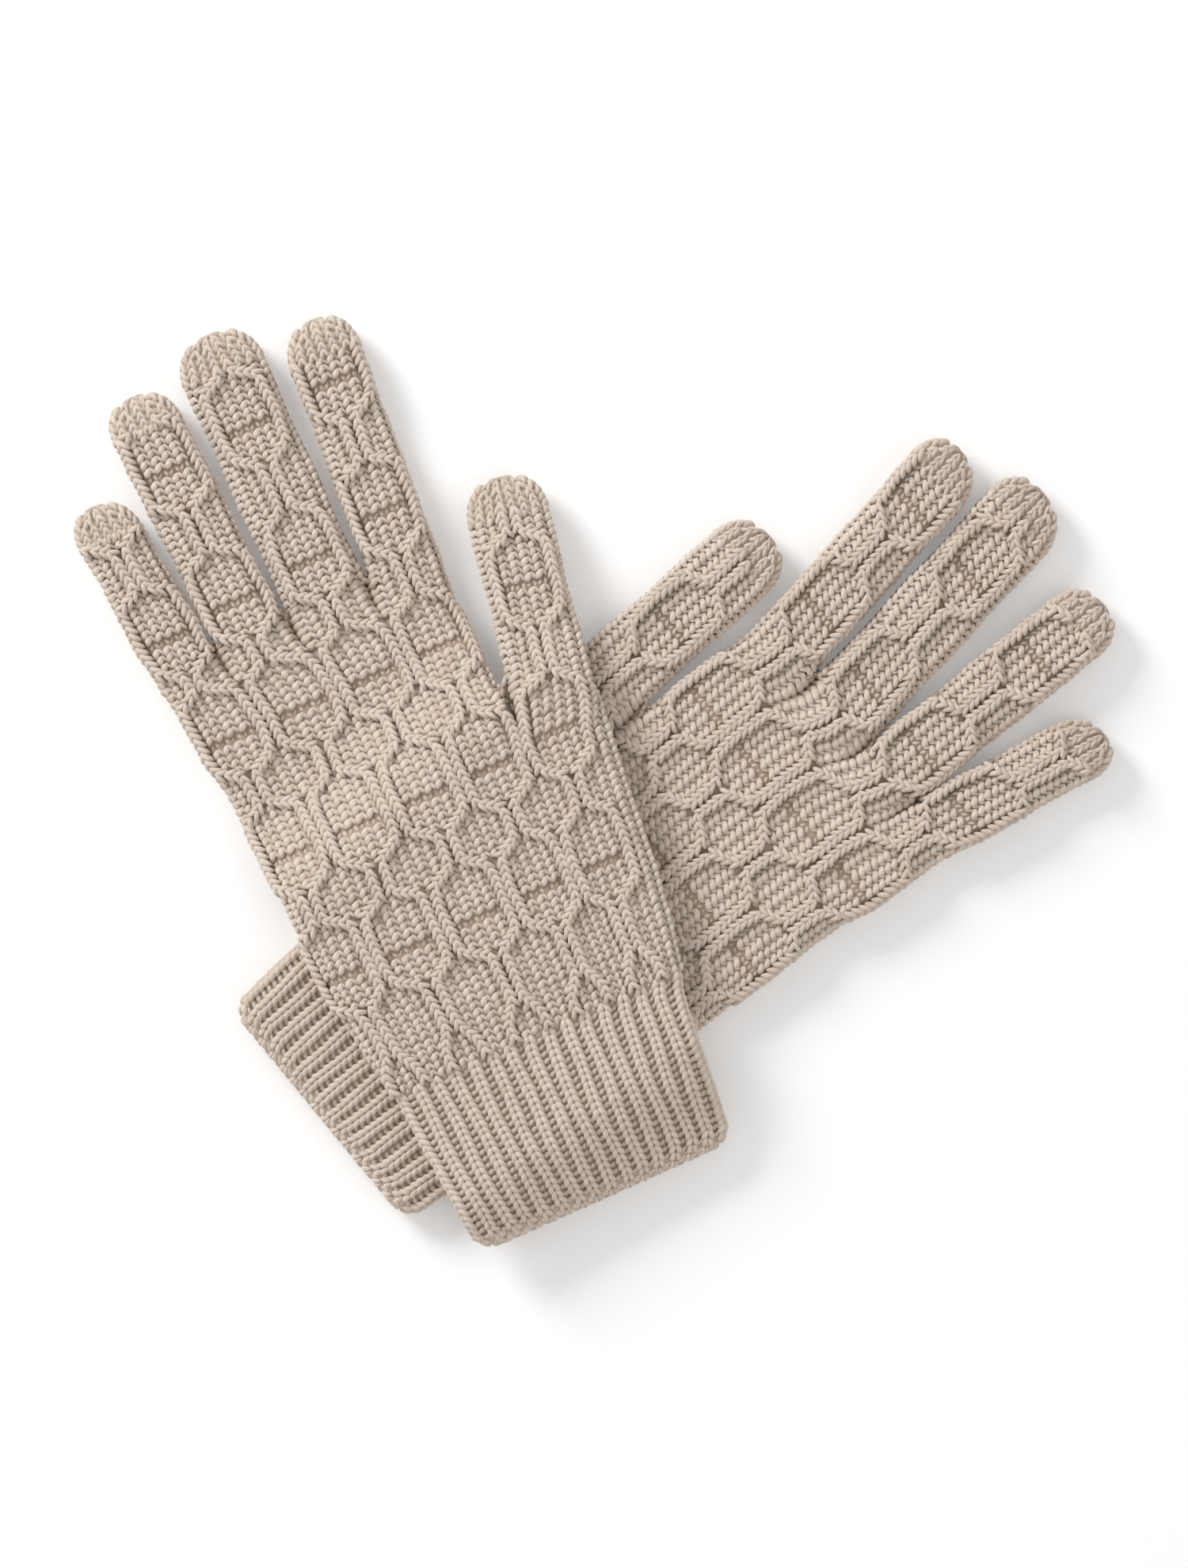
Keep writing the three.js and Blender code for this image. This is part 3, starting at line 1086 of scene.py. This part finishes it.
    def lay_waves(self, name: str, strip: int, face: Face, places: np.ndarray) -> None:
        """Lays purl columns.

        Args:
            name: The piece's name.
            strip: The strip.
            face: The layer.
            places: Column and height of each.
        """
        count = len(places)
        local = self.wave.points
        jitter = self.random.normal(0, 1, (count, 3))
        bulge = (0.25 - local[None, :, 0] ** 2) * 4
        c = places[:, 0:1] + local[None, :, 0] + 0.03 * jitter[:, 2:3] * bulge
        v = places[:, 1:2] + local[None, :, 1] + 0.12 * jitter[:, 0:1] * bulge
        point = self.ground(strip, face)
        here, _, _, normal = self.frame_at(point, c, v, 0.15, 0.3)
        normal = self.outward(normal, face)
        height = local[None, :, 2] - 0.08 + 0.12 * jitter[:, 1:2] * bulge
        placed = here + normal * self.pressed(height, face)[..., None]
        # Painted shade: the low side of each wave is darkened, and the folds below the webs and the fork more so.
        painted_shade = np.clip((-0.2 - height) * 0.55, 0.0, 0.5) + 0.8 * self.shape.folded(strip, c, v)
        self.part(name).add(self.wave, placed, painted_shade)

    def lay_dashes(self, name: str, strip: int, face: Face, places: np.ndarray) -> None:
        """Lays pairs of short upright strands.

        Args:
            name: The piece's name.
            strip: The strip.
            face: The layer.
            places: Column and height of each.
        """
        for shift in (-0.25, 0.25):
            count = len(places)
            local = self.dash.points
            jitter = self.random.normal(0, 1, (count, 3))
            lean = 0.10 * np.sign(shift) + 0.04 * jitter[:, 0:1]
            c = places[:, 0:1] + shift + local[None, :, 0] / STITCH - lean * local[None, :, 1]
            v = places[:, 1:2] + local[None, :, 1]
            point = self.ground(strip, face)
            here, _, _, normal = self.frame_at(point, c, v, 0.15, 0.3)
            normal = self.outward(normal, face)
            height = local[None, :, 2] - 0.58 + 0.06 * jitter[:, 1:2]
            # Painted shade: the dashes lie low in the fabric and are darkened, the more the lower they lie.
            painted_shade = np.clip((0.0 - height) * 0.8, 0.0, 0.9) * np.ones_like(c)
            self.part(name).add(self.dash, here + normal * height[..., None], painted_shade)

    def lay_legs(self, name: str, point: Surface, a: np.ndarray, b: np.ndarray, slope: np.ndarray,
                 face: Face, width: np.ndarray, length: np.ndarray, proud: np.ndarray,
                 legs: dict[int, Template]) -> None:
        """Lays knit stitches along a wale.

        Args:
            name: The piece's name.
            point: Surface function of (a, b).
            a: Column coordinate of each stitch.
            b: Height of each stitch.
            slope: Change of a for each unit of b along the wale.
            face: The layer.
            width: Width scale of each stitch.
            length: Length scale of each stitch.
            proud: Height over the ground of each stitch, mm.
            legs: The left and right leg.
        """
        here, along_a, along_b, normal = self.frame_at(point, a, b, 0.05, 0.3)
        normal = self.outward(normal, face)
        path = along_a * slope[:, None] + along_b
        path /= np.maximum(np.linalg.norm(path, axis=-1, keepdims=True), 1e-9)
        across = np.cross(path, normal) * (self.size.side * face.value)
        jitter = self.random.normal(0, 1, (len(a), 4))
        for side in legs:
            local = legs[side].points
            x = local[None, :, 0] * (width * (1 + 0.04 * jitter[:, 0]))[:, None]
            y = local[None, :, 1] * (length * (1 + 0.03 * jitter[:, 1]))[:, None]
            z = local[None, :, 2] + proud[:, None] + 0.05 * jitter[:, 2:3]
            placed = (here[:, None, :] + across[:, None, :] * x[..., None] + path[:, None, :] * y[..., None]
                      + normal[:, None, :] * self.pressed(z, face)[..., None])
            # Painted shade: the underside of each leg, below its top, is darkened a little.
            painted_shade = np.clip((0.35 - (z - proud[:, None])) * 0.22, 0.0, 0.5)
            self.part(name).add(legs[side], placed, painted_shade)

    def wales(self, strip: int, face: Face) -> None:
        """Lays a strip's two wales by arc length, from the cuff to the fingertip.

        Args:
            strip: The strip.
            face: The layer.
        """
        end = self.limits(strip)[2]
        dashes = self.dashes_of(strip)
        stop = end - 9.0
        fine = np.arange(FIRST_ROW - 0.5, stop, 0.1)
        point = self.ground(strip, face)
        for side in (-1, 1):
            column = side * self.offsets(dashes, fine)
            column = column + 0.05 * np.sin(fine * 0.55 + strip + side)
            path = point(column, fine)
            travel = np.concatenate([[0], np.cumsum(np.linalg.norm(np.diff(path, axis=0), axis=1))])
            at = np.arange(0.6, travel[-1], ROW * 1.02)
            v = np.interp(at, travel, fine)
            c = np.interp(at, travel, column)
            slope = np.gradient(column, fine)
            tilt = np.interp(at, travel, slope)
            names = np.array([self.zone_name(strip, face, value).replace("_front", "_front_wales")
                              .replace("_back", "_back_wales") for value in v])
            for name in dict.fromkeys(names):
                pick = names == name
                count = int(pick.sum())
                self.lay_legs(name, point, c[pick], v[pick], tilt[pick], face,
                              np.ones(count), np.ones(count), np.full(count, self.wale_proud), self.legs)

    def tip_knit(self, strip: int, face: Face) -> None:
        """Closes a fingertip with plain knit columns that draw in to its end.

        Args:
            strip: The strip.
            face: The layer.
        """
        finger = FINGERS[strip]
        end = self.limits(strip)[2]
        name = f"{self.size.name}_{finger.name}_tip"
        point = self.ground(strip, face)
        half = finger.half_columns
        v = end - 10.2
        while v < end - 0.4:
            count = int(round(2 * half * (0.75 if v > end - 5.5 else 1.0)))
            step = 2 * half / count
            c = -half + step * (np.arange(count) + 0.5)
            b = np.full(count, v)
            here, along, _, _ = self.frame_at(point, c, b, 0.1, 0.2)
            wide = np.linalg.norm(along, axis=-1) * step / 4.0
            scale = np.clip(wide * 1.1, 0.18, 1.0)
            self.lay_legs(name, point, c, b, np.zeros(count), face, scale,
                          np.full(count, 0.95), np.full(count, self.tip_proud), self.legs)
            v += ROW * 0.93

    def shell(self, strip: int, face: Face) -> None:
        """Lays the closed ground under the stitches.

        Args:
            strip: The strip.
            face: The layer.
        """
        hand_end, tip_start, end = self.limits(strip)
        finger = FINGERS[strip]
        split = FORK if strip == 4 else WEBS
        bands = [(FIRST_ROW - 2.5, split, "hand"), (split - 6.0, hand_end, "hand"),
                 (hand_end, tip_start, "base"), (tip_start, end, "tip")]
        for index, (low, high, kind) in enumerate(bands):
            if index == 0:
                rows, columns = int((high - low) / 1.7), 12
            else:
                rows, columns = max(int((high - low) / 1.4), 3), 14
            grid = ground_sheet(columns, rows)
            v = low + (grid.points[:, 1] + 1) / 2 * (high - low)
            share = (grid.points[:, 0] + 1) / 2
            if index == 0:
                lefts = np.array([self.shape.columns(strip, min(x, split - 1.5))[0] for x in v])
                rights = np.array([self.shape.columns(strip, min(x, split - 1.5))[1] for x in v])
                if strip == 0:
                    lefts = -self.shape.left_edge(v)
                if strip == 4:
                    rights = self.shape.right_edge(v)
                c = lerp(lefts, rights, share)
            else:
                half = finger.half_columns
                c = lerp(-half, half, share)
            if index == 1:
                point = lambda a, b: self.shape.lay(self.shape.tube(finger, a, b), face, strip)
            else:
                point = self.ground(strip, face)
            here, _, _, normal = self.frame_at(point, c, v, 0.15, 0.3)
            drawn_in = smooth(end - 12.5, end - 9.5, v) if kind == "tip" else np.zeros_like(v)
            depth = 0.26 + 0.07 * index - 0.41 * drawn_in[:, None] + 0.4 * (1.0 - grid.points[:, 2:3])
            placed = here - self.outward(normal, face) * depth
            name = f"{self.size.name}_{finger.name}_{kind}" if kind != "hand" else \
                f"{self.size.name}_hand_{face.name.lower()}"
            # Painted shade: the ground sheet is darkened throughout, most beside the dash rows and in the folds,
            # less where the tip draws in.
            near = np.min([np.abs(v - dash) for dash in self.dashes_of(strip)], axis=0)
            dark = np.maximum(1.0 - smooth(1.2, 3.0, near), self.shape.folded(strip, c, v))
            shade = 0.35 + 0.65 * dark - 0.2 * drawn_in
            self.part(name).add(grid, placed[None], shade[None])

    def cuff(self, face: Face) -> None:
        """Knits the ribbed cuff of one layer, round its hem and up its inside.

        Args:
            face: The layer.
        """
        name = f"{self.size.name}_cuff_{face.name.lower()}"
        point = self.ground(None, face)
        step = 1.0 / self.ribs
        for index in range(self.ribs):
            u = (index + 0.5) * step
            v = np.arange(-self.rib_inside, CUFF + 1.2, self.rib_row)
            drift = 0.05 * step * np.sin(v * 0.19 + index * 1.7 + self.size.seed)
            a = u + drift
            across = point(a + 0.002, v) - point(a - 0.002, v)
            pitch = np.linalg.norm(across, axis=-1) / 0.004 * step
            scale = np.clip(pitch / self.rib_pitch, 0.55, 1.15)
            proud = 0.45 - 0.25 * (1.0 - smooth(1.0, 5.0, np.abs(v)))
            self.lay_legs(name, point, a, v, np.gradient(a, v), face, scale,
                          np.full(len(v), 0.95), proud, self.rib_legs)
            if face is Face.FRONT and index == 0:
                self.lay_valley(name, point, 0.0 * v, v + self.rib_row / 2, face)
            if face is Face.FRONT or index < self.ribs - 1:
                self.lay_valley(name, point, u + step / 2 + drift, v + self.rib_row / 2, face)
        self.cuff_shell(name, point, face)

    def lay_valley(self, name: str, point: Surface, a: np.ndarray, b: np.ndarray, face: Face) -> None:
        """Lays the small sunken bumps between two ribs.

        Args:
            name: The piece's name.
            point: Surface function of (a, b).
            a: Place across the cuff of each bump.
            b: Height of each bump.
            face: The layer.
        """
        local = self.dash.points
        jitter = self.random.normal(0, 1, (len(a), 2))
        here, along_a, along_b, normal = self.frame_at(point, a, b, 0.002, 0.3)
        normal = self.outward(normal, face)
        along_a = along_a / np.maximum(np.linalg.norm(along_a, axis=-1, keepdims=True), 1e-9)
        along_b = along_b / np.maximum(np.linalg.norm(along_b, axis=-1, keepdims=True), 1e-9)
        hem = 1.0 - smooth(1.5, 5.0, np.abs(b))
        z = local[None, :, 2] - 0.30 + 0.85 * hem[:, None] + 0.05 * jitter[:, 0:1]
        placed = (here[:, None, :] + along_a[:, None, :] * (local[None, :, 1] * 1.0)[..., None]
                  + along_b[:, None, :] * (local[None, :, 0] * 1.1 + local[None, :, 1] * 0.25)[..., None]
                  + normal[:, None, :] * z[..., None])
        # Painted shade: the valley bumps between the ribs get a fixed darkening.
        self.part(name).add(self.dash, placed, np.full(placed.shape[:2], 0.22))

    def cuff_shell(self, name: str, point: Surface, face: Face) -> None:
        """Lays the closed ground under the ribs, round the hem.

        Args:
            name: The piece's name.
            point: Surface function of place across and height.
            face: The layer.
        """
        grid = ground_sheet(44, 56)
        u = (grid.points[:, 0] + 1) / 2
        v = -self.rib_inside + (grid.points[:, 1] + 1) / 2 * (self.rib_inside + CUFF + 1.5)
        here, _, _, normal = self.frame_at(point, u, v, 0.002, 0.3)
        roll = 1.0 - smooth(1.2, 4.2, np.abs(v))
        depth = 0.66 - 1.05 * roll[:, None] + 0.3 * (1.0 - grid.points[:, 2:3])
        placed = here - self.outward(normal, face) * depth
        # Painted shade: the ground under the ribs is darkened, but not on the rolled hem.
        self.part(name).add(grid, placed[None], (0.6 - 0.6 * roll)[None])

    def build(self) -> None:
        """Knits the glove, hands its cuff and hand pieces to its body and bakes the place of its finger pieces."""
        for face in Face:
            self.cuff(face)
            for strip in range(5):
                self.shell(strip, face)
                self.purl_rows(strip, face)
                self.wales(strip, face)
                self.tip_knit(strip, face)
        knit, rib = self.knit.material(), self.rib.material()
        glove = f"{self.size.name}_glove"
        for name, stitches in self.parts.items():
            made = stitches.mesh(f"{name}_knit")
            made.data.materials.append(rib if "_cuff_" in name else knit)
            self.attach(made, name, glove)
            made.data.calc_loop_triangles()
            log.info("%s: %d triangles", made.name, len(made.data.loop_triangles))
            self.triangles += len(made.data.loop_triangles)
        log.info("%s glove: %d triangles", self.size.name, self.triangles)

    def attach(self, made: bpy.types.Object, name: str, glove: str) -> None:
        """Lets a cuff or hand piece ride on the glove's body, or bakes a finger piece's place into its mesh, in
        place of its CAD node.

        Args:
            made: The piece.
            name: Its name without its last word.
            glove: The glove's body.
        """
        prefix = self.size.name
        if "_cuff_" in name:
            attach(made, glove)
            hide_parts(f"{prefix}_cuff")
            return
        if "_hand_" in name:
            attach(made, glove)
            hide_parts(f"{prefix}_hand")
            return
        if name.endswith("_base"):
            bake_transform(made)
        else:
            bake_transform(made)
        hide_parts(name)


@dataclass(frozen=True)
class Studio:
    """Pale floor, soft light and the camera straight above."""

    centre: tuple[float, float] = (0.114, -1.055)
    height: float = 2.6
    view_width: float = 316.2

    def camera(self) -> None:
        """Makes the camera that looks straight down."""
        data = bpy.data.cameras.new("camera")
        data.sensor_fit = "VERTICAL"
        data.sensor_height = 24.0
        tall = self.view_width * 1979 / 1500 * MM
        data.lens = 24.0 * self.height / tall
        data.clip_end = 20.0
        camera = bpy.data.objects.new("camera", data)
        camera.location = (self.centre[0] * MM, self.centre[1] * MM, self.height)
        bpy.context.scene.collection.objects.link(camera)
        bpy.context.scene.camera = camera

    def lamp(self, name: str, place: tuple[float, float, float], size: float, power: float) -> None:
        """Makes a soft square lamp that faces the gloves.

        Args:
            name: The lamp's name.
            place: Where it hangs, in metres.
            size: Its side, in metres.
            power: Its power in watts.
        """
        data = bpy.data.lights.new(name, "AREA")
        data.size = size
        data.energy = power
        lamp = bpy.data.objects.new(name, data)
        lamp.location = place
        lamp.rotation_euler = (-Vector(place)).to_track_quat("-Z", "Y").to_euler()
        bpy.context.scene.collection.objects.link(lamp)

    def build(self) -> None:
        """Makes the floor, the lamps and the surroundings."""
        bm = bmesh.new()
        bmesh.ops.create_grid(bm, x_segments=1, y_segments=1, size=3.0)
        mesh = bpy.data.meshes.new("floor")
        bm.to_mesh(mesh)
        bm.free()
        floor = bpy.data.objects.new("floor", mesh)
        bpy.context.scene.collection.objects.link(floor)
        paint = bpy.data.materials.new("floor_white")
        paint.use_nodes = True
        shader = paint.node_tree.nodes["Principled BSDF"]
        shader.inputs["Base Color"].default_value = (0.94, 0.94, 0.94, 1.0)
        shader.inputs["Emission Color"].default_value = (1.0, 1.0, 1.0, 1.0)
        shader.inputs["Emission Strength"].default_value = 0.12
        shader.inputs["Roughness"].default_value = 0.9
        floor.data.materials.append(paint)
        self.lamp("key_lamp", (-1.35, 1.25, 0.95), 0.75, 30.0)
        self.lamp("fill_lamp", (1.1, -0.6, 1.6), 1.4, 4.0)
        world = bpy.data.worlds.new("studio")
        world.use_nodes = True
        world.node_tree.nodes["Background"].inputs["Color"].default_value = (1.0, 1.0, 1.0, 1.0)
        world.node_tree.nodes["Background"].inputs["Strength"].default_value = 0.62
        bpy.context.scene.world = world
        bpy.context.scene.view_settings.view_transform = "Standard"


RIB_YARN = YarnSize(
    leg_length=3.7, leg_width=0.86, leg_height=0.9, leg_angle=21.0, leg_spread=0.92, leg_keel=1.2)
RIB_WOOL = Wool("rib_wool", middle=(0.700, 0.568, 0.468))


def main() -> None:
    """Builds the studio and both gloves, and writes down how big they are."""
    logging.basicConfig(level=logging.INFO, format="%(message)s")
    studio = Studio()
    studio.camera()
    studio.build()
    for size in (UNDER, TOP):
        Glove(size, YarnSize(), RIB_YARN, Wool("knit_wool"), RIB_WOOL).build()


if __name__ == "__main__":
    main()
